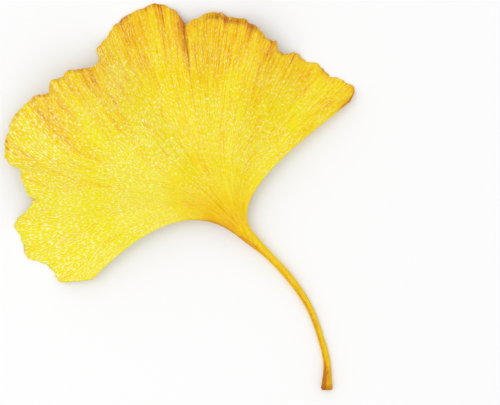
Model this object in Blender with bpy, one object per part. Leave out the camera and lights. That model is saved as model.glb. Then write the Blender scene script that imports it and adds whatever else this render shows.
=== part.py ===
"""A ginkgo leaf in autumn, lying face up: blade and stalk, grown as one piece.

+Y runs from the stalk to the blade's outer margin, +X across the blade and +Z up. The outline
is drawn in millimetres around the junction of stalk and blade. The finished leaf is moved so
that its origin is the middle of its box, on the surface that it lies on.
"""

import math

import bpy
import numpy as np

MM = 0.001
NAME = "ginkgo_leaf"
LEAF_COLOUR = (0.91, 0.65, 0.03, 1.0)
LEAF_ROUGHNESS = 0.6
SHARP_ANGLE = math.radians(50)

# Outer margin, clockwise: a list of points for each lobe between two notches
LEFT_LOBES = [
    [(-36.0, 10.5), (-39.8, 12.4), (-42.5, 14.2), (-43.3, 19.4), (-46.1, 23.5), (-44.7, 28.4),
     (-44.5, 31.2), (-39.8, 32.6), (-37.2, 33.6)],
    [(-37.2, 33.6), (-37.7, 35.5), (-36.1, 41.4)],
    [(-36.1, 41.4), (-37.6, 44.3), (-37.0, 47.0), (-31.9, 51.8), (-25.2, 53.8), (-20.3, 52.7)],
    [(-20.3, 52.7), (-18.8, 54.5), (-15.4, 53.8)],
    [(-15.4, 53.8), (-13.6, 54.4), (-8.7, 52.1), (-6.2, 53.4)],
    [(-6.2, 53.4), (-5.7, 55.3), (-3.1, 56.4), (3.4, 58.2), (10.8, 57.3), (14.4, 53.8), (15.1, 48.8)],
]
RIGHT_LOBES = [
    [(15.1, 48.8), (17.3, 48.9), (20.5, 48.2), (23.5, 46.8), (25.3, 44.3), (27.4, 42.3), (27.6, 41.0)],
    [(27.6, 41.0), (28.9, 38.7), (29.4, 35.3), (30.6, 33.7), (29.9, 31.9)],
    [(29.9, 31.9), (30.7, 30.3), (33.2, 28.9), (34.6, 25.8)],
    [(34.6, 25.8), (36.3, 23.4), (37.0, 20.0)],
    [(37.0, 20.0), (39.4, 17.2), (40.2, 14.4), (37.4, 12.5)],
]

# The cleft between the two halves of the fan: its share of the fan and of the way out
CLEFT_AT = 22 / 32
CLEFT_FOOT = 0.77
CLEFT_GAP = 0.3
CLEFT_STEP = 0.5
CLEFT_REACH = 0.04

# The fan's lines leave the junction nearly side by side and bend apart. For the left edge, the
# cleft and the right edge: the direction they leave in, how far they turn from their chord at the
# margin (both in degrees), and the reach of each end's direction as a share of the chord
FAN_SHARES = [0.0, CLEFT_AT, 1.0]
FAN_LINES = [(107.0, 96.0, 91.0), (30.0, -14.0, -14.0), (0.36, 0.34, 0.27), (0.50, 0.33, 0.36)]
JUNCTION = [(-1.7, 0.2), (1.7, -0.2)]

# Stalk, from the junction to its cut end, and its values at shares of that length
STALK_LINE = [(0.0, 0.0), (2.0, -8.0), (3.2, -15.5), (3.2, -23.0), (1.7, -30.0), (-0.4, -36.1), (-3.9, -41.5)]
STALK_SHARES = [0.0, 0.13, 0.35, 0.6, 0.77, 0.92, 1.0]
STALK_WIDTHS = [3.4, 2.05, 1.7, 1.4, 1.45, 1.9, 2.8]
STALK_DEPTHS = [1.6, 1.6, 1.5, 1.35, 1.4, 1.7, 2.2]
STALK_LIFTS = [1.9, 1.3, 0.6, 0.1, 0.0, 0.0, 0.0]
STALK_GROOVE = 0.12
GROOVE_HALF_ANGLE = 0.4
STALK_SIDE_ANGLE = math.radians(81)
STALK_EDGE_SHARE = 0.3

# Blade
BLADE_THICKNESS = 0.36
MIDRIB_FADE = 7.0
DOME = 1.5
PLEAT_POWER = 1.6
CONTACT_BLEND = 0.8
# Heights of the outer margin at shares of the fan. Where they fall below 0 it lies flat
LEFT_HEIGHTS = [
    (0.0, 3.4), (0.05, 1.2), (0.11, -2.0), (0.17, 1.6), (0.24, 5.6), (0.30, 3.0), (0.36, 3.8),
    (0.43, 7.4), (0.50, 4.4), (0.55, 0.4), (0.60, -2.0), (0.65, 0.8), (CLEFT_AT, 2.8),
]
RIGHT_HEIGHTS = [(0.75, 1.6), (0.81, 5.8), (0.87, 2.2), (0.93, -2.0), (1.0, 2.8)]
MARGIN_SHARES, MARGIN_HEIGHTS = zip(*LEFT_HEIGHTS, *RIGHT_HEIGHTS)

# Rows of the mesh: the stalk's, and for the blade bands of (columns, end of the band, rows)
STALK_ROWS = 24
STALK_COLUMNS = 8
BLADE_BANDS = [(8, 0.06, 3), (16, 0.16, 4), (32, 0.38, 5), (64, CLEFT_FOOT, 7), (128, 1.0, 6)]
MARGIN_COLUMNS = BLADE_BANDS[-1][0]
CURVE_STEPS = 40


def through(stops, values, at):
    """Values of the smooth cubic run that has the given values at the stops."""
    values = np.array(values, float).reshape(len(stops), -1)
    slopes = np.gradient(values, stops, axis=0)
    i = np.clip(np.searchsorted(stops, at, side="right") - 1, 0, len(stops) - 2)
    gap = np.diff(stops)[i][:, None]
    x = (at - stops[i])[:, None] / gap
    placed = (1 + 2 * x) * (1 - x) ** 2 * values[i] + x**2 * (3 - 2 * x) * values[i + 1]
    turned = x * (1 - x) ** 2 * slopes[i] - x**2 * (1 - x) * slopes[i + 1]
    return placed + gap * turned


def curve(points):
    """Close points on a smooth curve through the given ones, and the length up to each."""
    gaps = np.sqrt(np.linalg.norm(np.diff(points, axis=0), axis=1))
    stops = np.concatenate(([0.0], np.cumsum(gaps)))
    line = through(stops, points, np.linspace(0.0, stops[-1], CURVE_STEPS * len(points)))
    lengths = np.concatenate(([0.0], np.cumsum(np.linalg.norm(np.diff(line, axis=0), axis=1))))
    return line, lengths


def along(points, share):
    """Places at shares of the length of the smooth curve through the points."""
    line, lengths = curve(points)
    wanted = np.asarray(share) * lengths[-1]
    return np.stack([np.interp(wanted, lengths, line[:, axis]) for axis in (0, 1)], axis=-1)


def profile(shares, values, at):
    """A smooth profile through values at shares of a length, read at other shares."""
    return through(np.array(shares), values, at)[:, 0]


def ease(x):
    """0 to 1 with level ends."""
    x = np.clip(x, 0.0, 1.0)
    return x * x * (3 - 2 * x)


def heading(angle):
    """Unit vectors in plan."""
    return np.stack([np.cos(angle), np.sin(angle)], axis=-1)


def section_angle(u):
    """Angle round the stalk's section, from its left side over the top to its right side."""
    return (2 * u - 1) * STALK_SIDE_ANGLE


def section_side(u):
    """-1 to 1 across the section."""
    return np.sin(section_angle(u)) / math.sin(STALK_SIDE_ANGLE)


def half_depth(u, bulge, edge):
    """Half of the depth of a round or flattened section."""
    return np.hypot(bulge * np.cos(section_angle(u)), edge)


def lobe_ends(lobes, first, last):
    """Shares of the fan where the lobes begin and end, by their lengths, on whole columns."""
    lengths = [curve(lobe)[1][-1] for lobe in lobes]
    shares = first + (last - first) * np.cumsum([0.0] + lengths) / sum(lengths)
    return np.round(shares * MARGIN_COLUMNS) / MARGIN_COLUMNS


def outer_margin(u):
    """Places on the outer margin at shares of the fan, with a corner at each notch."""
    places = np.zeros((len(u), 2))
    for lobes, first, last in ((LEFT_LOBES, 0.0, CLEFT_AT), (RIGHT_LOBES, CLEFT_AT, 1.0)):
        ends = lobe_ends(lobes, first, last)
        for lobe, start, end in zip(lobes, ends[:-1], ends[1:]):
            inside = (u >= start) & (u <= end)
            places[inside] = along(lobe, (u[inside] - start) / (end - start))
    return places


def cleft_side(u, v, side, reach):
    """How much a point belongs to the cleft's left (-1) or right (1) lip; 0 away from it."""
    opening = ease(2 * (v - CLEFT_FOOT) / (1 - CLEFT_FOOT))
    return side * opening * np.clip(1 - np.abs(u - CLEFT_AT) / reach, 0, 1)


def blade_plan(u, v, side):
    """Places of blade points in plan: u across the fan, v from the junction to the margin."""
    start, turn, near, far = (profile(FAN_SHARES, values, u) for values in FAN_LINES)
    base = along(JUNCTION, (1 + section_side(u)) / 2)
    tip = outer_margin(u)
    chord = tip - base
    length = np.linalg.norm(chord, axis=1)
    facing = np.arctan2(chord[:, 1], chord[:, 0])
    first = base + (near * length)[:, None] * heading(np.radians(start))
    last = tip - (far * length)[:, None] * heading(facing + np.radians(turn))
    t = v[:, None]
    places = (1 - t) ** 3 * base + 3 * t * (1 - t) ** 2 * first + 3 * t**2 * (1 - t) * last + t**3 * tip
    apart = CLEFT_GAP / 2 * cleft_side(u, v, side, CLEFT_REACH / 2)
    return places + apart[:, None] * heading(facing - math.pi / 2)


def settled(height):
    """A height that levels out where it would sink below the surface."""
    level_out = np.maximum(height, 0) ** 2 / (2 * CONTACT_BLEND)
    return np.where(height < CONTACT_BLEND, level_out, height - CONTACT_BLEND / 2)


def blade_points(u, v, side):
    """Undersides and tops of blade points."""
    plan = blade_plan(u, v, side)
    edge = BLADE_THICKNESS / 2
    bulge = STALK_DEPTHS[0] / 2
    base = math.hypot(bulge, edge) + STALK_LIFTS[0] - edge + CONTACT_BLEND / 2
    outward = v**PLEAT_POWER
    height = (1 - outward) * base + outward * profile(MARGIN_SHARES, MARGIN_HEIGHTS, u) + 4 * DOME * v * (1 - v)
    height += CLEFT_STEP / 2 * cleft_side(u, v, side, CLEFT_REACH)
    fade = np.exp(-((v * np.linalg.norm(plan, axis=1) / MIDRIB_FADE) ** 2))
    half = half_depth(u, bulge * fade, edge)
    middle = settled(height) + edge
    return np.column_stack([plan, middle - half]), np.column_stack([plan, middle + half])


def stalk_points(u, s):
    """Undersides and tops of stalk points: s from the junction to the cut end."""
    step = 0.01
    back = along(STALK_LINE, np.clip(s - step, 0, 1)) - along(STALK_LINE, np.clip(s + step, 0, 1))
    facing = np.arctan2(back[:, 1], back[:, 0])
    aside = section_side(u) * profile(STALK_SHARES, STALK_WIDTHS, s) / 2
    plan = along(STALK_LINE, s) + aside[:, None] * heading(facing - math.pi / 2)
    edge = BLADE_THICKNESS / 2 * (1 - (1 - STALK_EDGE_SHARE) * ease(5 * s))
    bulge = profile(STALK_SHARES, STALK_DEPTHS, s) / 2
    half = half_depth(u, bulge, edge)
    middle = np.hypot(bulge, edge) + np.maximum(profile(STALK_SHARES, STALK_LIFTS, s), 0)
    groove = STALK_GROOVE * ease(10 * s) * ease(10 * (1 - s))
    groove *= np.exp(-((section_angle(u) / GROOVE_HALF_ANGLE) ** 2))
    return np.column_stack([plan, middle - half]), np.column_stack([plan, middle + half - groove])


def mesh_rows():
    """(station, columns) of each row: -1 is the cut end, 0 the junction and 1 the margin."""
    rows = [(station, STALK_COLUMNS) for station in np.linspace(-1, 0, STALK_ROWS + 1)]
    for columns, end, count in BLADE_BANDS:
        rows += [(station, columns) for station in np.linspace(rows[-1][0], end, count + 1)[1:]]
    return rows


def join(lower, upper):
    """Faces between two rows, of which the upper may have twice the columns."""
    if len(upper) == len(lower):
        return list(zip(lower, lower[1:], upper[1:], upper))
    faces = []
    for i, (a, b) in enumerate(zip(lower, lower[1:])):
        c, d, e = upper[2 * i : 2 * i + 3]
        faces += [(a, d, c), (a, b, d), (b, e, d)]
    return faces


def sheet():
    """The leaf as one sheet: (u, station, side of the cleft) of each point, and its faces."""
    points, faces, before = [], [], []
    for station, columns in mesh_rows():
        cleft = round(CLEFT_AT * columns)
        whole = station <= CLEFT_FOOT
        spans = [(0, columns, 0)] if whole else [(0, cleft, -1), (cleft, columns, 1)]
        row = []
        for first, last, side in spans:
            row.append(range(len(points), len(points) + last - first + 1))
            points += [(i / columns, station, side) for i in range(first, last + 1)]
        if len(row) > len(before) > 0:
            foot = round(CLEFT_AT * (len(before[0]) - 1))
            before = [before[0][: foot + 1], before[0][foot:]]
        for lower, upper in zip(before, row):
            faces += join(lower, upper)
        before = row
    return np.array(points), faces


def rim(faces):
    """The sheet's open edges, in the direction of the faces they belong to."""
    edges = {(a, b) for face in faces for a, b in zip(face, face[1:] + face[:1])}
    return sorted(edge for edge in edges if edge[::-1] not in edges)


def leaf_points(points):
    """Undersides and tops of the sheet's points, in millimetres."""
    u, station, side = points.T
    blade = station >= 0
    low, high = np.zeros((2, len(u), 3))
    low[blade], high[blade] = blade_points(u[blade], station[blade], side[blade])
    low[~blade], high[~blade] = stalk_points(u[~blade], -station[~blade])
    return low, high


def make_material():
    """Waxy yellow leaf."""
    material = bpy.data.materials.new("leaf")
    material.use_nodes = True
    shader = material.node_tree.nodes["Principled BSDF"]
    shader.inputs["Base Color"].default_value = LEAF_COLOUR
    shader.inputs["Roughness"].default_value = LEAF_ROUGHNESS
    shader.inputs["Metallic"].default_value = 0.0
    return material


def make_leaf():
    """The closed solid: both faces of the sheet, and a wall round its rim."""
    points, faces = sheet()
    low, high = leaf_points(points)
    count = len(points)
    under = [tuple(count + i for i in reversed(face)) for face in faces]
    walls = [(b, a, count + a, count + b) for a, b in rim(faces)]
    places = np.concatenate([high, low])
    places[:, :2] -= (places[:, :2].min(axis=0) + places[:, :2].max(axis=0)) / 2
    mesh = bpy.data.meshes.new(NAME)
    mesh.from_pydata((places * MM).tolist(), [], faces + under + walls)
    mesh.shade_smooth()
    mesh.set_sharp_from_angle(angle=SHARP_ANGLE)
    mesh.materials.append(make_material())
    leaf = bpy.data.objects.new(NAME, mesh)
    bpy.context.scene.collection.objects.link(leaf)


for old in list(bpy.data.objects):
    bpy.data.objects.remove(old)
make_leaf()
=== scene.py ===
import math

import bpy
import numpy as np
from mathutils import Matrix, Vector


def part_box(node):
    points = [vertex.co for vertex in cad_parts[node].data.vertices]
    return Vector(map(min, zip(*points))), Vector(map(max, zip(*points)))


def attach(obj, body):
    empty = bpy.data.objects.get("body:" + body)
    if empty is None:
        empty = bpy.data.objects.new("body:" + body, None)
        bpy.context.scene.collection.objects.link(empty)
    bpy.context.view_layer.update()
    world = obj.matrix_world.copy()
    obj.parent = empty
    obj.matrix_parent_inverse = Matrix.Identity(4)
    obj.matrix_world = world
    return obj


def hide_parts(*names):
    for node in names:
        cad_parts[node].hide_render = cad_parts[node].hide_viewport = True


# The look of an autumn ginkgo leaf that lies face up, seen from straight above.
#
# The leaf grew as one piece, so one mesh holds the blade, its forking veins and its stalk. It is
# drawn in millimetres around the junction of blade and stalk, on nearly the same lines as the
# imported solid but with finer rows, and moved to where that solid lies. +Y runs from the stalk to the
# blade's outer margin, +X across the blade and +Z up. A place on the leaf is (u, station): u is
# the share across the fan, from its left edge to its right one, and the station is -1 at the
# stalk's cut end, 0 at the junction and 1 at the outer margin.

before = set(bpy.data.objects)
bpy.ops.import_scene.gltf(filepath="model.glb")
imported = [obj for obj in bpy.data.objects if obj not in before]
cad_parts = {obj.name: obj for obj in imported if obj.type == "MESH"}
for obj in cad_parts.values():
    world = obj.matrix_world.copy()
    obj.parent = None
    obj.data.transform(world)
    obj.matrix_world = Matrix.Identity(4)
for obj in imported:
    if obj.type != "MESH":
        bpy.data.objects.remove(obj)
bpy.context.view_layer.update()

MM = 0.001
NODE = "ginkgo_leaf"

# Outer margin, clockwise: a list of points for each lobe between two notches
LEFT_LOBES = [
    [(-36.0, 10.5), (-39.8, 12.4), (-42.5, 14.2), (-43.3, 19.4), (-46.1, 23.5), (-44.7, 28.4),
     (-44.5, 31.2), (-39.8, 32.6), (-37.2, 33.6)],
    [(-37.2, 33.6), (-37.7, 35.5), (-36.1, 41.4)],
    [(-36.1, 41.4), (-37.6, 44.3), (-37.0, 47.0), (-31.9, 51.8), (-25.2, 53.8), (-20.3, 52.7)],
    [(-20.3, 52.7), (-18.8, 54.5), (-15.4, 53.8)],
    [(-15.4, 53.8), (-13.6, 54.4), (-8.7, 52.1), (-6.2, 53.4)],
    [(-6.2, 53.4), (-5.7, 55.3), (-3.1, 56.4), (3.4, 58.2), (10.8, 57.3), (14.4, 53.8), (15.1, 48.8)],
]
RIGHT_LOBES = [
    [(15.1, 48.8), (17.3, 48.9), (20.5, 48.2), (23.5, 46.8), (25.3, 44.3), (27.4, 42.3), (27.6, 41.0)],
    [(27.6, 41.0), (28.9, 38.7), (29.4, 35.3), (30.6, 33.7), (29.9, 31.9)],
    [(29.9, 31.9), (30.7, 30.3), (33.2, 28.9), (34.6, 25.8)],
    [(34.6, 25.8), (36.3, 23.4), (37.0, 20.0)],
    [(37.0, 20.0), (39.4, 17.2), (40.2, 14.4), (37.4, 12.5)],
]
# Notches lie on whole columns of a grid of this many
LOBE_GRID = 128
# Farther in, the notches fade away: over how much of the fan they are smoothed, in how many
# steps, and from which station on they show
NOTCH_SOFTENING = 0.05
SOFTENING_STEPS = 9
NOTCHES_FROM = 0.7

# The cleft between the two halves of the fan: its share of the fan, the station of its foot, the
# gap and the step in height between its lips, and the share of the fan over which the step fades
CLEFT_AT = 22 / 32
CLEFT_FOOT = 0.77
CLEFT_GAP = 0.09
CLEFT_STEP = 0.3
CLEFT_REACH = 0.04

# The fan's lines leave the junction nearly side by side and bend apart. For the left edge, the
# cleft and the right edge: the direction they leave in, how far they turn from their chord at the
# margin (both in degrees), and the reach of each end's direction as a share of the chord
FAN_SHARES = [0.0, CLEFT_AT, 1.0]
FAN_LINES = [(107.0, 96.0, 91.0), (30.0, -14.0, -14.0), (0.36, 0.34, 0.27), (0.50, 0.33, 0.36)]
JUNCTION = [(-1.7, 0.2), (1.7, -0.2)]
# The share of the stalk over which its sections turn from the junction's direction to their own
JUNCTION_TURN = 0.12

# Stalk, from the junction to its cut end, and its values at shares of that length
STALK_LINE = [(0.0, 0.0), (2.0, -8.0), (3.2, -15.5), (3.2, -23.0), (1.7, -30.0), (-0.4, -36.1),
              (-3.9, -41.5)]
STALK_SHARES = [0.0, 0.13, 0.35, 0.6, 0.77, 0.92, 1.0]
STALK_WIDTHS = [3.4, 2.05, 1.7, 1.4, 1.45, 1.9, 2.8]
STALK_DEPTHS = [1.6, 1.6, 1.5, 1.35, 1.4, 1.7, 2.2]
STALK_LIFTS = [1.9, 1.3, 0.6, 0.1, 0.0, 0.0, 0.0]
# The points of a section run from one side over the top to the other, this far from the top. Its
# edges are this share as thick as the blade, and thin out to that over the first part of the stalk
STALK_SIDE_ANGLE = math.radians(84)
STALK_EDGE_SHARE = 0.3
EDGE_THINS_OVER = 0.2
# The groove and the fine ribs along its top, which fade at both ends
STALK_GROOVE = 0.12
GROOVE_HALF_ANGLE = 0.4
STALK_RIBS = 9
STALK_RIB_HEIGHT = 0.03
RIBS_FADE_OVER = 0.1
# How much smaller the section gets at the rounded cut end, and from which share of the stalk on
CUT_ROUNDING = 0.22
CUT_ROUNDS_FROM = 0.985

# Blade: its thickness, how far from the junction the stalk's bulge fades, how high it is domed
# midway, how late the margin's waves set in, and how gradually it comes to lie flat
BLADE_THICKNESS = 0.36
MIDRIB_FADE = 7.0
DOME = 1.5
PLEAT_POWER = 1.6
CONTACT_BLEND = 0.8
# Heights of the outer margin at shares of the fan. Where they fall below 0 it lies flat
LEFT_HEIGHTS = [
    (0.0, 3.4), (0.05, 1.2), (0.11, -2.0), (0.17, 1.6), (0.24, 5.6), (0.30, 3.0), (0.36, 3.8),
    (0.43, 7.4), (0.50, 4.4), (0.55, 0.4), (0.60, -2.0), (0.65, 0.8), (CLEFT_AT, 2.8),
]
RIGHT_HEIGHTS = [(0.75, 1.6), (0.81, 5.8), (0.87, 2.2), (0.93, -2.0), (1.0, 2.8)]
MARGIN_SHARES, MARGIN_HEIGHTS = zip(*LEFT_HEIGHTS, *RIGHT_HEIGHTS)

# Veins: how many leave the junction, how far out each of them forks, again and again, and how
# much that varies, all as shares of the way out
FIRST_VEINS = 5
VEIN_FORKS = [0.03, 0.065, 0.13, 0.26, 0.52]
FORK_SPREAD = 0.26
FORK_LENGTH = 0.16
VEIN_HALF_WIDTH = 0.16
VEIN_HEIGHT_ABOVE = 0.10
VEIN_HEIGHT_BELOW = 0.11
VEIN_SEED = 4
VEINS_FULL_AT = 0.05
# How unevenly they are spaced: (waves across the fan, size as a share of the fan)
VEIN_SWAYS = [(19, 0.0022), (47, 0.0009)]
# How far they lean aside over a whole length of the fan. The left ones lean from one station on,
# and the right ones until another
LEAN_LEFT = 0.20
LEAN_RIGHT = 0.14
LEAN_FROM = 0.42
LEAN_UNTIL = 0.55
# The station where the veins and strokes are as close together as they would be without a lean
VEINS_AT = 0.7

# Small relief: (bends across the fan, size in millimetres), and the stations where it begins
MARGIN_NIBBLES = [(80, 0.20), (230, 0.20)]
NIBBLES_FROM = 0.9
MARGIN_CURLS = [(46, 0.10), (120, 0.07)]
CURLS_FROM = 0.75
RIPPLES = [(34, 0.14)]
RELIEF_SEED = 11
# How far the wall round the rim bulges out
RIM_ROUND = 0.07

# The flat map of the leaf, as shares of its width: its margin, the wall round the rim,
# half of the cleft, the stalk's strip and where the blade's rectangle begins
MAP_MARGIN = 0.008
MAP_WALL = 0.003
MAP_CLEFT = 0.0045
MAP_STALK_WIDTH = 0.038
MAP_BLADE_FROM = 0.07

# Rows of the mesh: the stalk's, and for the blade bands of (columns, end of the band, rows)
STALK_ROWS = 100
STALK_COLUMNS = 40
BLADE_BANDS = [
    (40, 0.11, 16), (80, 0.22, 12), (160, 0.45, 20), (320, CLEFT_FOOT, 30), (640, 1.0, 28),
]
# Points on a curve for each point that it is drawn through
CURVE_STEPS = 40

# Colours. Warmth is 0 for lemon and 1 for burnt orange, and pairs are for the blade's left and its
# right. Its inner part is warmer, up to a station, and so is its outer part
BLADE_WARMTH = (-0.07, 0.13)
INNER_WARMTH = (0.66, 0.32)
INNER_REACH = (0.53, 0.40)
OUTER_WARMTH = 0.32
# A brown edging along the outer margin, with gaps, and weaker on the left
EDGING_FROM = 0.978
EDGING_FULL_AT = 0.998
EDGING_BENDS = 70
EDGING_WARMTH = 0.22
EDGING_BROWN = 0.15
# A line of painted shade on the left edge near the junction: its half width and how much the fan
# widens over its length, in mm, and how much warmer and browner the painted shade is
EDGE_LINE = 0.8
FAN_SPREAD = 130.0
EDGE_SHADE_STRENGTH = 0.26
# Pale flecks: near the junction, farther out, and how much less there is of them in two places
INNER_PALENESS = 0.12
OUTER_PALENESS = 0.64
LESS_ON_THE_RIGHT = 0.24
LESS_AT_THE_MARGIN = 0.20
# The stalk: its warmth, and a line of painted shade along its left side, at a share of its width
STALK_WARMTH = 0.44
STALK_PALENESS = 0.12
STALK_SHADE_LINE_AT = 0.28
STALK_SHADE_HALF_WIDTH = 0.16

# Colour patches of the blade, stretched along the leaning lines: (share of the fan where the line
# meets the margin, half width, station, half length, strength)
WARM_PATCHES = [
    # painted shadow along the left lip of the cleft, under its raised right lip, and amber bands that
    # run in from the margin of the left half, partly painted shade in the valleys between the margin's
    # waves
    (0.676, 0.014, 1.00, 0.16, 0.36), (0.683, 0.005, 0.80, 0.20, 0.28),
    (0.640, 0.014, 0.98, 0.14, 0.18), (0.580, 0.013, 0.96, 0.20, 0.22),
    (0.484, 0.013, 0.97, 0.14, 0.24), (0.492, 0.016, 0.72, 0.20, 0.18),
    (0.445, 0.010, 0.97, 0.08, 0.14), (0.385, 0.024, 0.84, 0.22, 0.24),
    (0.410, 0.008, 0.98, 0.10, 0.20), (0.306, 0.010, 0.98, 0.12, 0.16),
    (0.282, 0.014, 0.80, 0.20, 0.29), (0.245, 0.007, 0.90, 0.14, 0.12),
    (0.168, 0.010, 0.90, 0.20, 0.26), (0.205, 0.007, 0.97, 0.08, 0.18),
    (0.150, 0.007, 0.62, 0.10, 0.14), (0.105, 0.008, 0.97, 0.10, 0.12),
    (0.120, 0.006, 0.80, 0.12, 0.12), (0.055, 0.012, 0.76, 0.07, 0.16),
    (0.045, 0.014, 0.98, 0.06, 0.20), (0.235, 0.006, 0.62, 0.14, 0.12),
    # the right half, whose bands are likewise partly painted shade
    (0.755, 0.040, 0.98, 0.02, 0.30), (0.785, 0.016, 0.92, 0.12, 0.20),
    (0.830, 0.010, 0.96, 0.10, 0.10), (0.995, 0.016, 0.99, 0.06, 0.26),
    (0.740, 0.010, 0.80, 0.12, 0.10), (0.865, 0.012, 0.84, 0.14, 0.08),
    # nearer the stalk
    (0.300, 0.030, 0.29, 0.035, 0.16), (0.520, 0.024, 0.46, 0.07, 0.20),
    (0.640, 0.030, 0.32, 0.05, 0.20), (0.555, 0.012, 0.56, 0.06, 0.12),
    (0.875, 0.010, 0.55, 0.09, 0.14), (0.840, 0.020, 0.48, 0.07, 0.10),
    (0.040, 0.026, 0.19, 0.05, 0.22), (0.100, 0.040, 0.13, 0.035, 0.12),
    (0.000, 0.050, 0.40, 0.12, 0.16),
    # yellower between them
    (0.345, 0.012, 0.90, 0.12, -0.12), (0.430, 0.012, 0.78, 0.14, -0.10),
    (0.260, 0.010, 0.70, 0.14, -0.10), (0.090, 0.012, 0.74, 0.10, -0.08),
    (0.760, 0.030, 0.22, 0.06, -0.10), (0.940, 0.050, 0.78, 0.18, -0.14),
]
# Brown: painted shadow along the left lip of the cleft, under its raised right lip, and browned places
# at the right corner and along the margin
BROWN_PATCHES = [
    (0.684, 0.003, 1.00, 0.12, 0.40), (0.686, 0.002, 0.86, 0.12, 0.40),
    (0.664, 0.006, 1.00, 0.020, 0.30), (0.735, 0.014, 0.980, 0.010, 0.58),
    (0.768, 0.016, 0.982, 0.010, 0.60), (0.80, 0.012, 0.985, 0.010, 0.42),
    (0.995, 0.008, 0.96, 0.05, 0.40), (0.205, 0.006, 1.00, 0.012, 0.35),
    (0.440, 0.006, 1.00, 0.012, 0.30), (0.46, 0.006, 1.00, 0.010, 0.30),
    (0.120, 0.006, 1.00, 0.010, 0.25), (0.860, 0.005, 1.00, 0.010, 0.30),
    (0.92, 0.006, 1.00, 0.010, 0.25),
]
# Places with more or fewer pale flecks
PALE_PATCHES = [
    (0.06, 0.07, 0.85, 0.35, 0.30), (0.33, 0.03, 0.85, 0.16, 0.35),
    (0.35, 0.02, 0.95, 0.10, 0.15), (0.53, 0.025, 0.88, 0.22, 0.35),
    (0.50, 0.08, 0.66, 0.10, 0.20), (0.22, 0.06, 0.70, 0.14, 0.25),
    (0.01, 0.03, 0.75, 0.25, 0.25), (0.38, 0.04, 0.58, 0.14, 0.25),
    (0.12, 0.03, 0.80, 0.16, 0.20), (0.55, 0.22, 0.24, 0.06, 0.12),
    (0.28, 0.05, 0.50, 0.09, -0.22), (0.17, 0.03, 0.55, 0.20, 0.15),
]


def through(stops, values, at):
    """Values of the smooth cubic run that has the given values at the stops."""
    values = np.array(values, float).reshape(len(stops), -1)
    slopes = np.gradient(values, stops, axis=0)
    i = np.clip(np.searchsorted(stops, at, side="right") - 1, 0, len(stops) - 2)
    gap = np.diff(stops)[i][:, None]
    x = (at - stops[i])[:, None] / gap
    placed = (1 + 2 * x) * (1 - x) ** 2 * values[i] + x**2 * (3 - 2 * x) * values[i + 1]
    turned = x * (1 - x) ** 2 * slopes[i] - x**2 * (1 - x) * slopes[i + 1]
    return placed + gap * turned


def curve(points):
    """Close points on a smooth curve through the given ones, and the length up to each."""
    gaps = np.sqrt(np.linalg.norm(np.diff(points, axis=0), axis=1))
    stops = np.concatenate(([0.0], np.cumsum(gaps)))
    line = through(stops, points, np.linspace(0.0, stops[-1], CURVE_STEPS * len(points)))
    lengths = np.concatenate(([0.0], np.cumsum(np.linalg.norm(np.diff(line, axis=0), axis=1))))
    return line, lengths


def along(points, share):
    """Places at shares of the length of the smooth curve through the points."""
    line, lengths = curve(points)
    wanted = np.asarray(share) * lengths[-1]
    return np.stack([np.interp(wanted, lengths, line[:, axis]) for axis in (0, 1)], axis=-1)


def profile(shares, values, at):
    """A smooth profile through values at shares of a length, read at other shares."""
    return through(np.array(shares), values, at)[:, 0]


def wander(u, bends):
    """A smooth random run across the fan, between about -1 and 1."""
    values = np.random.default_rng([RELIEF_SEED, bends]).uniform(-1, 1, bends + 1)
    return profile(np.linspace(0, 1, bends + 1), values, u)


def wanders(u, runs):
    """The sum of random runs, each given as (bends across the fan, size)."""
    return sum(size * wander(u, bends) for bends, size in runs)


def ease(x):
    """0 to 1 with level ends."""
    x = np.clip(x, 0.0, 1.0)
    return x * x * (3 - 2 * x)


def rise(value, begin, end):
    """0 to 1 with level ends, as the value goes from begin to end."""
    return ease((value - begin) / (end - begin))


def between(share, ends):
    """A value on the way from one end to the other."""
    return ends[0] + (ends[1] - ends[0]) * share


def heading(angle):
    """Unit vectors in plan."""
    return np.stack([np.cos(angle), np.sin(angle)], axis=-1)


def section_angle(u):
    """Angle round the stalk's section, from its left side over the top to its right side."""
    return (2 * u - 1) * STALK_SIDE_ANGLE


def section_side(u):
    """-1 to 1 across the section."""
    return np.sin(section_angle(u)) / math.sin(STALK_SIDE_ANGLE)


def half_depth(u, bulge, edge):
    """Half of the depth of a round or flattened section."""
    return np.hypot(bulge * np.cos(section_angle(u)), edge)


def lobe_ends(lobes, first, last):
    """Shares of the fan where the lobes begin and end, by their lengths, on whole columns."""
    lengths = [curve(lobe)[1][-1] for lobe in lobes]
    shares = first + (last - first) * np.cumsum([0.0] + lengths) / sum(lengths)
    return np.round(shares * LOBE_GRID) / LOBE_GRID


def outer_margin(u):
    """Places on the outer margin at shares of the fan, with a corner at each notch."""
    places = np.zeros((len(u), 2))
    for lobes, first, last in ((LEFT_LOBES, 0.0, CLEFT_AT), (RIGHT_LOBES, CLEFT_AT, 1.0)):
        ends = lobe_ends(lobes, first, last)
        for lobe, start, end in zip(lobes, ends[:-1], ends[1:]):
            inside = (u >= start) & (u <= end)
            places[inside] = along(lobe, (u[inside] - start) / (end - start))
    return places


def cleft_opening(station):
    """0 at the foot of the cleft, and 1 from halfway between there and the margin."""
    return rise(station, CLEFT_FOOT, (CLEFT_FOOT + 1) / 2)


def cleft_side(u, v, side, reach):
    """How much a point belongs to the cleft's left (-1) or right (1) lip; 0 away from it."""
    return side * cleft_opening(v) * np.clip(1 - np.abs(u - CLEFT_AT) / reach, 0, 1)


def soft_margin(u):
    """The outer margin with its notches smoothed away."""
    reach = np.minimum(NOTCH_SOFTENING, np.minimum(u, 1 - u))
    shifts = np.linspace(-1, 1, SOFTENING_STEPS)
    return sum(outer_margin(u + shift * reach) for shift in shifts) / len(shifts)


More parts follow.
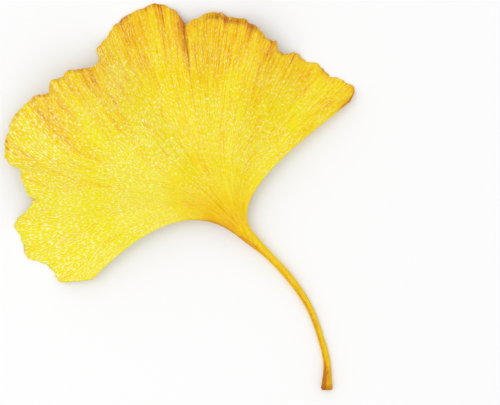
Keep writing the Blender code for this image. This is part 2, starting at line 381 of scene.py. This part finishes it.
def blade_plan(u, v, side):
    """Places of blade points in plan: u across the fan, v from the junction to the margin."""
    start, turn, near, far = (profile(FAN_SHARES, values, u) for values in FAN_LINES)
    base = along(JUNCTION, (1 + section_side(u)) / 2)
    tip = soft_margin(u)
    chord = tip - base
    length = np.linalg.norm(chord, axis=1)
    facing = np.arctan2(chord[:, 1], chord[:, 0])
    first = base + (near * length)[:, None] * heading(np.radians(start))
    last = tip - (far * length)[:, None] * heading(facing + np.radians(turn))
    t = v[:, None]
    places = (1 - t) ** 3 * base + 3 * t * (1 - t) ** 2 * first
    places += 3 * t**2 * (1 - t) * last + t**3 * tip
    places += rise(v, NOTCHES_FROM, 1)[:, None] * (outer_margin(u) - tip)
    apart = CLEFT_GAP / 2 * cleft_side(u, v, side, CLEFT_REACH / 2)
    nibble = rise(v, NIBBLES_FROM, 1) * wanders(u, MARGIN_NIBBLES)
    return places + apart[:, None] * heading(facing - math.pi / 2) + nibble[:, None] * heading(facing)


def settled(height):
    """A height that levels out where it would sink below the surface."""
    level_out = np.maximum(height, 0) ** 2 / (2 * CONTACT_BLEND)
    return np.where(height < CONTACT_BLEND, level_out, height - CONTACT_BLEND / 2)


def nearest_vein(u, v):
    """The share of the fan of the vein nearest to each point. Each vein forks again and again."""
    chance = np.random.default_rng(VEIN_SEED)
    veins = FIRST_VEINS
    cell = np.minimum((u * veins).astype(int), veins - 1)
    centre = (cell + 0.5) / veins
    for fork in VEIN_FORKS:
        forks_at = fork * (1 + FORK_SPREAD * chance.uniform(-1, 1, veins))
        cell = np.minimum((u * veins).astype(int), veins - 1)
        parted = ease((v / forks_at[cell] - 1) / FORK_LENGTH)
        branch = np.where(u * veins >= cell + 0.5, 1, -1)
        centre += branch * parted / (4 * veins)
        veins *= 2
    return centre


def leaning(u, v, at):
    """Shares of the fan where the veins through these places cross one station.

    On the left the veins' outer half leans towards the stalk's side, and on the right their inner
    half does.
    """
    left = LEAN_LEFT * rise(u, 0, 0.3) * (1 - rise(u, 0.36, 0.62))
    right = LEAN_RIGHT * rise(u, 0.65, 0.95)
    outer = max(at, LEAN_FROM) - np.maximum(v, LEAN_FROM)
    return u + left * outer + right * (min(at, LEAN_UNTIL) - np.minimum(v, LEAN_UNTIL))


def uneven(u):
    """Shares of the fan moved a little, so that the veins aren't evenly spaced."""
    wide, narrow = (size * np.sin(2 * math.pi * waves * u) for waves, size in VEIN_SWAYS)
    return u + wide * np.sin(math.pi * u) + narrow


def vein_ridge(u, v, side):
    """0 to 1: how near a point is to the crest of a vein."""
    step = 0.003
    left, right = np.clip(u - step, 0, 1), np.clip(u + step, 0, 1)
    apart = np.linalg.norm(blade_plan(right, v, side) - blade_plan(left, v, side), axis=1)
    across = uneven(leaning(right, v, VEINS_AT)) - uneven(leaning(left, v, VEINS_AT))
    stretch = apart / np.maximum(across, 1e-6)
    shifted = np.clip(uneven(leaning(u, v, VEINS_AT)), 0, 1)
    away = np.abs(shifted - nearest_vein(shifted, v)) * stretch
    return np.exp(-((away / VEIN_HALF_WIDTH) ** 2)) * rise(v, 0, VEINS_FULL_AT)


def blade_points(u, v, side, vein):
    """Undersides and tops of blade points."""
    plan = blade_plan(u, v, side)
    edge = BLADE_THICKNESS / 2
    bulge = STALK_DEPTHS[0] / 2
    base = math.hypot(bulge, edge) + STALK_LIFTS[0] - edge + CONTACT_BLEND / 2
    out = v**PLEAT_POWER
    height = (1 - out) * base + out * profile(MARGIN_SHARES, MARGIN_HEIGHTS, u)
    height += 4 * DOME * v * (1 - v)
    height += CLEFT_STEP / 2 * cleft_side(u, v, side, CLEFT_REACH)
    height += rise(v, CURLS_FROM, 1) * wanders(u, MARGIN_CURLS) + v**2 * wanders(u, RIPPLES)
    fade = np.exp(-((v * np.linalg.norm(plan, axis=1) / MIDRIB_FADE) ** 2))
    half = half_depth(u, bulge * fade, edge)
    middle = settled(height) + edge
    low = np.maximum(middle - half - VEIN_HEIGHT_BELOW * vein, 0)
    high = middle + half + VEIN_HEIGHT_ABOVE * vein
    return np.column_stack([plan, low]), np.column_stack([plan, high])


def rib_relief(angle):
    """The groove and the fine ribs on the stalk's top, at angles round its section."""
    groove = STALK_GROOVE * np.exp(-((angle / GROOVE_HALF_ANGLE) ** 2))
    return STALK_RIB_HEIGHT * np.cos(2 * STALK_RIBS * angle) * np.cos(angle) - groove


def stalk_points(u, s):
    """Undersides and tops of stalk points: s from the junction to the cut end."""
    step = 0.01
    back = along(STALK_LINE, np.clip(s - step, 0, 1)) - along(STALK_LINE, np.clip(s + step, 0, 1))
    facing = np.arctan2(back[:, 1], back[:, 0])
    (x1, y1), (x2, y2) = JUNCTION
    level = math.atan2(y2 - y1, x2 - x1) + math.pi / 2
    facing = level + (facing - level) * rise(s, 0, JUNCTION_TURN)
    rounding = 1 - CUT_ROUNDING * np.clip((s - CUT_ROUNDS_FROM) / (1 - CUT_ROUNDS_FROM), 0, 1) ** 2
    aside = section_side(u) * profile(STALK_SHARES, STALK_WIDTHS, s) / 2 * rounding
    plan = along(STALK_LINE, s) + aside[:, None] * heading(facing - math.pi / 2)
    edge = BLADE_THICKNESS / 2 * between(rise(s, 0, EDGE_THINS_OVER), (1, STALK_EDGE_SHARE))
    full = profile(STALK_SHARES, STALK_DEPTHS, s) / 2
    half = half_depth(u, full * rounding, edge)
    middle = np.hypot(full, edge) + np.maximum(profile(STALK_SHARES, STALK_LIFTS, s), 0)
    ends = rise(s, 0, RIBS_FADE_OVER) * rise(1 - s, 0, RIBS_FADE_OVER)
    relief = rib_relief(section_angle(u)) * ends
    low = np.maximum(middle - half, 0)
    return np.column_stack([plan, low]), np.column_stack([plan, middle + half + relief])


def mesh_rows():
    """(station, columns) of each row."""
    rows = [(station, STALK_COLUMNS) for station in np.linspace(-1, 0, STALK_ROWS + 1)]
    for columns, end, count in BLADE_BANDS:
        rows += [(station, columns) for station in np.linspace(rows[-1][0], end, count + 1)[1:]]
    return rows


def join(lower, upper):
    """Faces between two rows, of which the upper may have twice the columns."""
    if len(upper) == len(lower):
        return list(zip(lower, lower[1:], upper[1:], upper))
    faces = []
    for i, (a, b) in enumerate(zip(lower, lower[1:])):
        c, d, e = upper[2 * i : 2 * i + 3]
        faces += [(a, d, c), (a, b, d), (b, e, d)]
    return faces


def sheet():
    """The leaf as one sheet: (u, station, side of the cleft) of each point, and its faces."""
    points, faces, before = [], [], []
    for station, columns in mesh_rows():
        cleft = round(CLEFT_AT * columns)
        whole = station <= CLEFT_FOOT
        spans = [(0, columns, 0)] if whole else [(0, cleft, -1), (cleft, columns, 1)]
        row = []
        for first, last, side in spans:
            row.append(range(len(points), len(points) + last - first + 1))
            points += [(i / columns, station, side) for i in range(first, last + 1)]
        if len(row) > len(before) > 0:
            foot = round(CLEFT_AT * (len(before[0]) - 1))
            before = [before[0][: foot + 1], before[0][foot:]]
        for lower, upper in zip(before, row):
            faces += join(lower, upper)
        before = row
    return np.array(points), faces


def rim(faces):
    """The sheet's open edges, in the direction of the faces they belong to."""
    edges = {(a, b) for face in faces for a, b in zip(face, face[1:] + face[:1])}
    return sorted(edge for edge in edges if edge[::-1] not in edges)


def patches(marks, u, v):
    """The sum of soft patches of colour at places on the blade."""
    total = np.zeros(len(u))
    for at, half_width, out, half_length, strength in marks:
        total += strength * np.exp(-(((u - at) / half_width) ** 2) - ((v - out) / half_length) ** 2)
    return total


def left_edge_shade(u, v):
    """Painted shade: 1 to 0 away from the leaf's left edge, in a line that is as wide all along it."""
    width = STALK_WIDTHS[0] + FAN_SPREAD * v
    return np.exp(-((u * width / EDGE_LINE) ** 2))


def blade_colours(u, v):
    """Warmth, brown (browned places and painted shade) and paleness of the blade."""
    line = leaning(u, v, 1.0)
    to_right = rise(u, 0.2, 0.7)
    inner = between(to_right, INNER_WARMTH) * (1 - rise(v, 0, between(to_right, INNER_REACH)))
    outer = OUTER_WARMTH * rise(u, 0.14, 0.36) * rise(v, 0.5, 1)
    edging = rise(v, EDGING_FROM, EDGING_FULL_AT) * 0.6 * (1 + wander(u, EDGING_BENDS))
    edging *= between(rise(u, 0.15, 0.4), (0.4, 1))
    # Painted shade along the left edge near the junction, warmer and browner
    left_edge = left_edge_shade(u, v) * (1 - rise(v, 0.2, 0.45))
    warm = between(to_right, BLADE_WARMTH) + inner + outer + patches(WARM_PATCHES, line, v)
    warm += EDGING_WARMTH * edging + EDGE_SHADE_STRENGTH * left_edge
    brown = EDGING_BROWN * np.maximum(edging, 0) + EDGE_SHADE_STRENGTH * left_edge
    brown += patches(BROWN_PATCHES, line, v)
    pale = between(rise(v, 0.18, 0.52), (INNER_PALENESS, OUTER_PALENESS))
    pale -= LESS_ON_THE_RIGHT * rise(u, 0.36, 0.66) * rise(v, 0.3, 0.6)
    pale -= LESS_AT_THE_MARGIN * rise(u, 0.3, 0.45) * rise(v, 0.78, 0.93)
    return warm, brown, pale + patches(PALE_PATCHES, line, v)


def stalk_colours(u, s):
    """The same for the stalk: a line of painted shade along it and painted shade at its left edge near
    the junction, a burnt end and a brown cut.
    """
    # Painted shade on the round stalk's left side, as a warmer, browner line
    line = np.exp(-(((u - STALK_SHADE_LINE_AT) / STALK_SHADE_HALF_WIDTH) ** 2))
    left_edge = left_edge_shade(u, 0) * (1 - rise(s, 0, 0.22))
    burnt = rise(s, 0.82, 0.92)
    cut = rise(s, 0.965, 0.995)
    warm = STALK_WARMTH + 0.28 * line + 0.06 * rise(s, 0.2, 0.5) + 0.30 * left_edge
    warm += between(u, (0.40, 0.18)) * burnt
    brown = 0.16 * line * rise(s, 0.3, 0.5) + EDGE_SHADE_STRENGTH * left_edge
    brown += between(u, (0.28, 0)) * burnt + 0.42 * cut
    return warm, brown, np.full(len(u), STALK_PALENESS)


def leaf_points(points):
    """Undersides and tops of the sheet's points, in millimetres, and the marks on them."""
    u, station, side = points.T
    blade = station >= 0
    ub, vb, sb = points[blade].T
    us, s = u[~blade], -station[~blade]
    vein = np.zeros(len(u))
    vein[blade] = vein_ridge(ub, vb, sb)
    low, high = np.zeros((2, len(u), 3))
    low[blade], high[blade] = blade_points(ub, vb, sb, vein[blade])
    low[~blade], high[~blade] = stalk_points(us, s)
    colours = np.zeros((3, len(u)))
    colours[:, blade] = blade_colours(ub, vb)
    colours[:, ~blade] = stalk_colours(us, s)
    marks = {"vein": vein, **dict(zip(("warmth", "browning_and_shade", "paleness"), colours))}
    marks["fan"] = leaning(u, np.maximum(station, 0), VEINS_AT)
    marks["out"] = station
    return low, high, marks


def outward(edges, plan, count):
    """Unit vectors in plan that point away from the sheet, at the ends of its open edges."""
    a, b = np.array(edges).T
    run = plan[b] - plan[a]
    away = np.column_stack([run[:, 1], -run[:, 0]])
    total = np.zeros((count, 2))
    np.add.at(total, a, away)
    np.add.at(total, b, away)
    return total / np.maximum(np.linalg.norm(total, axis=1), 1e-9)[:, None]


def set_bake_map(mesh, points, edges, on_rim, opening, on_top):
    """Lays the leaf out flat in the map named OFBake.

    Its top fills the upper half of the map and its underside the lower half, each with the blade as
    a rectangle and the stalk as a narrow strip beside it. The wall round the rim is a thin band
    along them.
    """
    u, station, side = points.T
    blade_width = 1 - MAP_MARGIN - MAP_BLADE_FROM
    aside = MAP_CLEFT * side * cleft_opening(station)
    blade = np.column_stack([MAP_BLADE_FROM + blade_width * u + aside, station])
    stalk = np.column_stack([MAP_MARGIN + MAP_STALK_WIDTH * u, 1 + station])
    charts = []
    for chart in (blade, stalk):
        wall = (MAP_WALL * opening)[:, None] * outward(edges, chart, len(points))[on_rim]
        charts.append(np.concatenate([chart, chart, chart[on_rim] + wall]))
    stations = np.concatenate([station, station, station[on_rim]])
    layer = mesh.uv_layers.new(name="OFBake")
    for face, top in zip(mesh.polygons, on_top):
        corners = list(face.vertices)
        places = charts[1 if stations[corners].max() <= 0 else 0][corners]
        for loop, (x, y) in zip(face.loop_indices, places):
            y = between(y, (2 * MAP_MARGIN, 1 - 2 * MAP_MARGIN))
            layer.uv[loop].vector = (x, (y + top) / 2)


def set_marks(mesh, name, parts):
    """Stores a number for each point of the mesh: the top's, the underside's and then the rim's."""
    layer = mesh.attributes.new(name, "FLOAT", "POINT")
    layer.data.foreach_set("value", np.concatenate(parts).astype(np.float32))


def rim_opening(points):
    """0 at the foot of the cleft to 1 where the rim is fully open, at points on the rim."""
    u, station, side = points.T
    on_lip = (u == CLEFT_AT) & (station >= CLEFT_FOOT)
    return np.where(on_lip, cleft_opening(station), 1)


def closed_faces(faces, edges, on_rim, count):
    """Faces of the top, the underside and the wall round the rim, and 1 for the upper ones."""
    ring = {a: 2 * count + i for i, a in enumerate(on_rim)}
    under = [tuple(count + i for i in reversed(face)) for face in faces]
    upper_wall = [(b, a, ring[a], ring[b]) for a, b in edges]
    lower_wall = [(ring[b], ring[a], count + a, count + b) for a, b in edges]
    on_top = [1] * len(faces) + [0] * len(under) + [1] * len(upper_wall) + [0] * len(lower_wall)
    return faces + under + upper_wall + lower_wall, on_top


def over_node(places):
    """Places in millimetres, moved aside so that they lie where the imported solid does."""
    low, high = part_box(NODE)
    target = np.array([(low.x + high.x) / 2, (low.y + high.y) / 2]) / MM
    places[:, :2] += target - (places[:, :2].min(axis=0) + places[:, :2].max(axis=0)) / 2
    return places


def make_leaf():
    """The closed leaf: both faces of the sheet, and a rounded wall round its rim."""
    points, faces = sheet()
    low, high, marks = leaf_points(points)
    count = len(points)
    edges = rim(faces)
    on_rim = sorted({a for edge in edges for a in edge})
    opening = rim_opening(points[on_rim])
    middle = (low[on_rim] + high[on_rim]) / 2
    middle[:, :2] += (RIM_ROUND * opening)[:, None] * outward(edges, high[:, :2], count)[on_rim]
    places = over_node(np.concatenate([high, low, middle]))
    all_faces, on_top = closed_faces(faces, edges, on_rim, count)
    mesh = bpy.data.meshes.new("leaf")
    mesh.from_pydata((places * MM).tolist(), [], all_faces)
    mesh.shade_smooth()
    for name, values in marks.items():
        set_marks(mesh, name, [values, values, values[on_rim]])
    set_marks(mesh, "underside", [np.zeros(count), np.ones(count), np.full(len(on_rim), 0.5)])
    set_bake_map(mesh, points, edges, on_rim, opening, on_top)
    mesh.materials.append(leaf_material())
    leaf = bpy.data.objects.new("leaf", mesh)
    bpy.context.scene.collection.objects.link(leaf)
    return leaf


def linear(red, green, blue):
    """A colour given as seen on a screen, 0 to 255, as the shader's linear numbers."""
    seen = np.array([red, green, blue]) / 255
    return (*np.where(seen <= 0.04045, seen / 12.92, ((seen + 0.055) / 1.055) ** 2.4), 1.0)


class Graph:
    """A material's nodes, added and linked in one call each."""

    def __init__(self, name):
        self.material = bpy.data.materials.new(name)
        self.material.use_nodes = True
        self.tree = self.material.node_tree
        self.shader = self.tree.nodes["Principled BSDF"]

    def put(self, value, socket):
        """Sets a socket to a value, or links it where the value is another node's output."""
        if isinstance(value, bpy.types.NodeSocket):
            self.tree.links.new(value, socket)
        else:
            socket.default_value = value

    def add(self, kind, inputs=(), **settings):
        """Adds a node, with its settings and the values or links of its inputs."""
        node = self.tree.nodes.new(kind)
        for name, value in settings.items():
            setattr(node, name, value)
        for name, value in dict(inputs).items():
            self.put(value, node.inputs[name])
        return node

    def mark(self, name):
        """The number of that name stored on the mesh."""
        return self.add("ShaderNodeAttribute", attribute_name=name).outputs["Fac"]

    def maths(self, operation, a, b, clamp=False):
        node = self.add("ShaderNodeMath", {0: a, 1: b}, operation=operation, use_clamp=clamp)
        return node.outputs[0]

    def span(self, value, low, high, to_low=0.0, to_high=1.0):
        """A value from low to high as one from to_low to to_high, and no further."""
        inputs = {
            "Value": value,
            "From Min": low,
            "From Max": high,
            "To Min": to_low,
            "To Max": to_high,
        }
        node = self.add("ShaderNodeMapRange", inputs, interpolation_type="SMOOTHSTEP")
        return node.outputs["Result"]

    def swing(self, noise, to_low, to_high):
        """Noise as a number that swings between two others."""
        return self.span(noise, NOISE_LOW, NOISE_HIGH, to_low, to_high)

    def noise(self, place, scale, detail, roughness=0.5):
        inputs = {"Vector": place, "Scale": scale, "Detail": detail, "Roughness": roughness}
        return self.add("ShaderNodeTexNoise", inputs).outputs["Fac"]

    def blend(self, share, a, b):
        """One number turning into another as the share goes from 0 to 1."""
        node = self.add("ShaderNodeMix", data_type="FLOAT")
        for value, socket in zip((share, a, b), (node.inputs[0], node.inputs[2], node.inputs[3])):
            self.put(value, socket)
        return node.outputs[0]

    def mix(self, share, a, b):
        node = self.add("ShaderNodeMix", data_type="RGBA")
        for value, socket in zip((share, a, b), (node.inputs[0], node.inputs[6], node.inputs[7])):
            self.put(value, socket)
        return node.outputs[2]


# Most of a noise texture's values lie between these two
NOISE_LOW = 0.3
NOISE_HIGH = 0.7
# The detail of the noise that is drawn out along the fan
DETAIL = 3.0

# The colours that go with warmth
WARMTHS = [
    (0.0, linear(240, 227, 20)),
    (0.3, linear(240, 215, 10)),
    (0.55, linear(240, 195, 4)),
    (0.8, linear(230, 164, 4)),
    (1.0, linear(200, 113, 6)),
]
CREAM = linear(253, 248, 196)
BROWN = linear(146, 80, 16)
# The underside's duller yellow, and how much of it is mixed in there
UNDERSIDE = linear(214, 190, 92)
UNDERSIDE_SHARE = 0.35
# Strokes across the whole fan, and the stations between which they take over
STROKE_BANDS = [(9, 0, 0), (50, 0.0, 0.06), (120, 0.10, 0.2), (230, 0.28, 0.42), (430, 0.6, 0.85)]
# The part of the pale strokes' noise over which flecks come in, and how strong they are in clusters
FLECKS_FROM = 0.54
FLECKS_FULL_AT = 0.595
CLUSTER_STRENGTHS = (0.5, 2.4)
VEIN_WARMTH = 0.16
SPECULAR_LEVEL = 0.08
GRAIN_STRENGTH = 0.25
GRAIN_HEIGHT = 0.00005


def streaks(graph, across, lengthwise, layer=0.0, roughness=0.5):
    """Noise drawn out along the fan's lines."""
    place = graph.add("ShaderNodeCombineXYZ", {
        "X": graph.maths("MULTIPLY", graph.mark("fan"), across),
        "Y": graph.maths("MULTIPLY", graph.mark("out"), lengthwise),
        "Z": graph.maths("ADD", graph.mark("underside"), layer),
    })
    return graph.noise(place.outputs[0], 1.0, DETAIL, roughness)


def strokes(graph, density, lengthwise, layer, roughness):
    """Short marks along the fan's lines, about as wide at the base as at the margin."""
    out = graph.mark("out")
    value = None
    for across, begins, full in STROKE_BANDS:
        marks = streaks(graph, across * density, lengthwise, layer, roughness)
        value = marks if value is None else graph.blend(graph.span(out, begins, full), value, marks)
    return value


def warmth_ramp(graph, warmth):
    """The yellow that goes with a warmth."""
    ramp = graph.add("ShaderNodeValToRGB", {"Fac": warmth})
    stops = ramp.color_ramp.elements
    while len(stops) < len(WARMTHS):
        stops.new(0.5)
    for stop, (at, colour) in zip(stops, WARMTHS):
        stop.position = at
        stop.color = colour
    return ramp.outputs["Color"]


def leaf_material():
    """Waxy leaf: zones of yellow, streaks along the veins, pale flecks, browned places and painted
    shade.
    """
    graph = Graph("leaf")
    place = graph.add("ShaderNodeTexCoord").outputs["Object"]
    broad = streaks(graph, across=70.0, lengthwise=3.0)
    fine = streaks(graph, across=230.0, lengthwise=9.0)
    clusters = streaks(graph, across=190.0, lengthwise=12.0, layer=3.0)
    cloud = graph.noise(place, scale=260.0, detail=3.0, roughness=0.6)
    grain = graph.noise(place, scale=1900.0, detail=2.0, roughness=0.6)
    dark_strokes = strokes(graph, density=1.1, lengthwise=18.0, layer=5.0, roughness=0.6)
    pale_strokes = strokes(graph, density=1.4, lengthwise=70.0, layer=9.0, roughness=0.75)

    warmth = graph.mark("warmth")
    shifts = [
        graph.swing(broad, -0.11, 0.15),
        graph.swing(fine, -0.15, 0.15),
        graph.swing(cloud, -0.04, 0.04),
        graph.swing(dark_strokes, -0.14, 0.14),
        graph.maths("MULTIPLY", graph.mark("vein"), VEIN_WARMTH),
    ]
    for shift in shifts:
        warmth = graph.maths("ADD", warmth, shift)
    colour = warmth_ramp(graph, warmth)

    flecks = graph.span(pale_strokes, FLECKS_FROM, FLECKS_FULL_AT)
    flecks = graph.maths("MULTIPLY", flecks, graph.mark("paleness"))
    clustered = graph.span(clusters, 0.3, 0.66, *CLUSTER_STRENGTHS)
    flecks = graph.maths("MULTIPLY", flecks, clustered, clamp=True)
    colour = graph.mix(flecks, colour, CREAM)
    # Brown over the browned margin and cut, and as painted shade on the cleft's left lip and along the
    # stalk's left side
    patchy = graph.span(fine, 0.3, 0.65, 0.55, 1.25)
    browning_and_shade = graph.maths("MULTIPLY", graph.mark("browning_and_shade"), patchy, clamp=True)
    colour = graph.mix(browning_and_shade, colour, BROWN)
    duller = graph.maths("MULTIPLY", graph.mark("underside"), UNDERSIDE_SHARE)
    colour = graph.mix(duller, colour, UNDERSIDE)

    graph.put(colour, graph.shader.inputs["Base Color"])
    graph.put(graph.swing(grain, 0.5, 0.64), graph.shader.inputs["Roughness"])
    graph.shader.inputs["Specular IOR Level"].default_value = SPECULAR_LEVEL
    inputs = {"Height": grain, "Strength": GRAIN_STRENGTH, "Distance": GRAIN_HEIGHT}
    bump = graph.add("ShaderNodeBump", inputs)
    graph.put(bump.outputs["Normal"], graph.shader.inputs["Normal"])
    return graph.material


# The room, in metres
FLOOR_SIZE = 8.0
FLOOR_WHITE = 0.94
WORLD_STRENGTH = 0.87
LAMP_PLACE = (-0.28, 0.18, 0.90)
LAMP_SIZE = 0.9
LAMP_POWER = 2.1
# The camera: how wide its view is at the leaf, where that is centred, and how far it is turned
VIEW_WIDTH = 0.11765
VIEW_CENTRE = (0.00793, -0.00269, 0.003)
VIEW_TURN = -33.0


def make_floor():
    """A plain, pale, level surface under the leaf."""
    bpy.ops.mesh.primitive_plane_add(size=FLOOR_SIZE, location=(0, 0, 0))
    floor = bpy.context.object
    floor.name = "floor"
    material = bpy.data.materials.new("floor")
    material.use_nodes = True
    shader = material.node_tree.nodes["Principled BSDF"]
    shader.inputs["Base Color"].default_value = (FLOOR_WHITE, FLOOR_WHITE, FLOOR_WHITE, 1.0)
    shader.inputs["Roughness"].default_value = 0.9
    shader.inputs["Specular IOR Level"].default_value = 0.1
    floor.data.materials.append(material)


def make_light():
    """Even white light from all round, and a large soft lamp high on the left of the view."""
    world = bpy.data.worlds.new("studio")
    world.use_nodes = True
    background = world.node_tree.nodes["Background"]
    background.inputs["Color"].default_value = (1.0, 1.0, 1.0, 1.0)
    background.inputs["Strength"].default_value = WORLD_STRENGTH
    bpy.context.scene.world = world
    lamp = bpy.data.lights.new("lamp", "AREA")
    lamp.shape = "DISK"
    lamp.size = LAMP_SIZE
    lamp.energy = LAMP_POWER
    made = bpy.data.objects.new("lamp", lamp)
    made.location = LAMP_PLACE
    made.rotation_euler = (-made.location).to_track_quat("-Z", "Y").to_euler()
    bpy.context.scene.collection.objects.link(made)


def make_camera():
    """Straight above, turned so that the stalk runs to the lower right."""
    data = bpy.data.cameras.new("camera")
    data.lens = 200.0
    data.sensor_width = 36.0
    distance = VIEW_WIDTH * data.lens / data.sensor_width
    camera = bpy.data.objects.new("camera", data)
    x, y, z = VIEW_CENTRE
    camera.location = (x, y, z + distance)
    camera.rotation_euler = (0.0, 0.0, math.radians(VIEW_TURN))
    data.clip_start = 0.01
    data.clip_end = 20.0
    bpy.context.scene.collection.objects.link(camera)
    bpy.context.scene.camera = camera


make_camera()
make_floor()
make_light()
bpy.context.scene.view_settings.view_transform = "Standard"

leaf = make_leaf()
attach(leaf, "root")
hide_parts(NODE)
